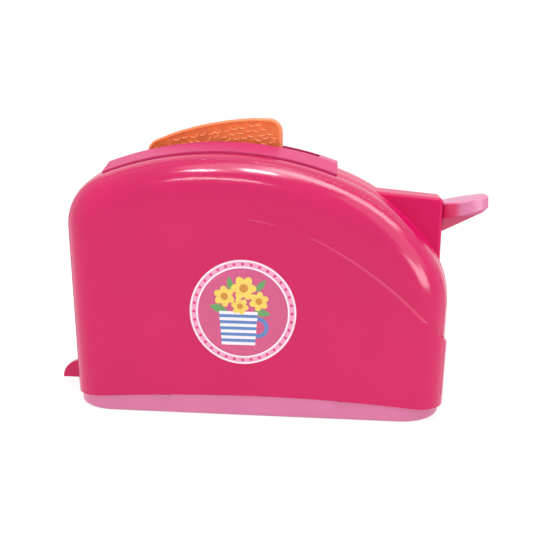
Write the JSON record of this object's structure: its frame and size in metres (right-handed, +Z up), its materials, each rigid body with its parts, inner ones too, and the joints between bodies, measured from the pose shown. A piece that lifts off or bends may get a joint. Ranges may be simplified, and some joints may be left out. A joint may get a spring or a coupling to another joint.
{
  "type": "toy toaster",
  "caption": "Toy toaster with a raised slot collar, one play slice, and a rocker lever whose knob lowers and lifts the slice.",
  "frame": {"origin": "centre of the flat underside of the base, on the middle plane", "axes": "+X along the length towards the lever knob, -Y towards the front with the sticker, +Z up"},
  "size_m": [0.2042, 0.074, 0.1322],
  "materials": {
    "body_plastic": "glossy moulded magenta plastic",
    "pale_plastic": "satin moulded pale pink plastic",
    "toast_plastic": "moulded brown-orange plastic with raised crumb marks",
    "steel": "zinc-plated steel",
    "nylon": "natural nylon",
    "pad_rubber": "soft black rubber",
    "print": "printed and laminated sticker"
  },
  "bodies": {
    "housing": {"front_shell": "body_plastic", "rear_shell": "body_plastic", "centre_band": "body_plastic", "slot_collar": "body_plastic", "base": "pale_plastic", "pivot_pin": "steel", "front_pivot_washer": "nylon", "rear_pivot_washer": "nylon", "front_toast_guide": "body_plastic", "rear_toast_guide": "body_plastic", "up_stop_pad": "pad_rubber", "down_stop_pad": "pad_rubber", "base_screws": "steel", "shell_screws": "steel", "front_sticker": "print"},
    "rocker": {"rocker_arm": "body_plastic", "lever_knob": "pale_plastic"},
    "toast": {"toast_slice": "toast_plastic"}
  },
  "joints": [
    {"name": "rocker_pivot", "type": "hinge", "parent": "housing", "child": "rocker", "pos_m": [-0.07, 0, 0.0555], "axis": [0, 1, 0], "range_deg": [0, 16]},
    {"name": "toast_lift", "type": "slide", "parent": "rocker", "child": "toast", "axis": [-0.1883, 0, 0.9821], "range_m": [0, 0.07]}
  ]
}
